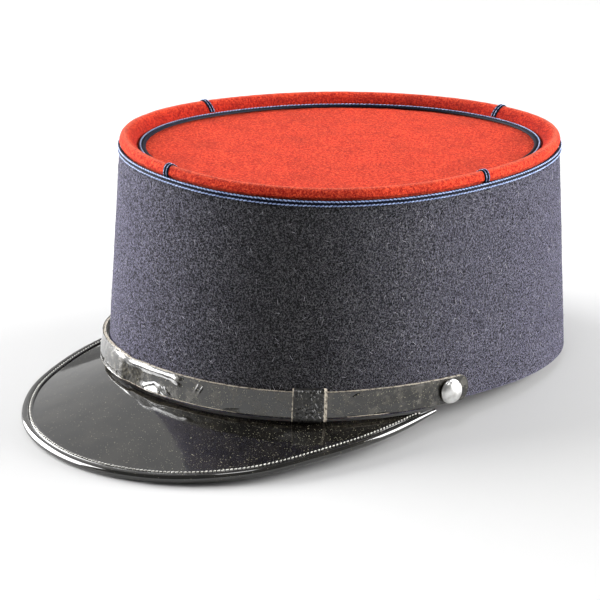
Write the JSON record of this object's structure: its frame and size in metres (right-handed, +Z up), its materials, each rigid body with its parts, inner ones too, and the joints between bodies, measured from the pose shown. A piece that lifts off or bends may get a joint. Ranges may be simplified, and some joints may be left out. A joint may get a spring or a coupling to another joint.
{
  "type": "officer cap",
  "caption": "Officer's cap with a tall navy felt band, padded scarlet rim and sunken top, braid trim, patent leather peak and buttoned chin strap.",
  "frame": {"origin": "middle of the outline box in plan, at the height of the surface that the cap rests on; the cap leans back on its peak's edge and the back of its band", "axes": "+Z up from the surface, the front and the peak towards -Y, the wearer's left towards +X"},
  "size_m": [0.1766, 0.254, 0.1114],
  "materials": {
    "navy_felt": "stiff dark navy wool felt with a fine pale fuzz, matt",
    "scarlet_felt": "scarlet wool felt, matt",
    "navy_braid": "navy braid with two raised cords, soft shine",
    "patent_leather": "black patent leather, glossy, with fine dust",
    "silver_metal": "bright silver-coloured metal, plain domed"
  },
  "bodies": {
    "root": {"band": "navy_felt", "rim": "scarlet_felt", "top": "scarlet_felt", "outer_braid": "navy_braid", "inner_braid": "navy_braid", "front_bar": "navy_braid", "left_bar": "navy_braid", "back_bar": "navy_braid", "right_bar": "navy_braid", "peak": "patent_leather", "peak_binding": "patent_leather", "chin_strap": "patent_leather", "strap_keeper": "patent_leather", "button_left": "silver_metal", "button_right": "silver_metal"}
  },
  "joints": []
}
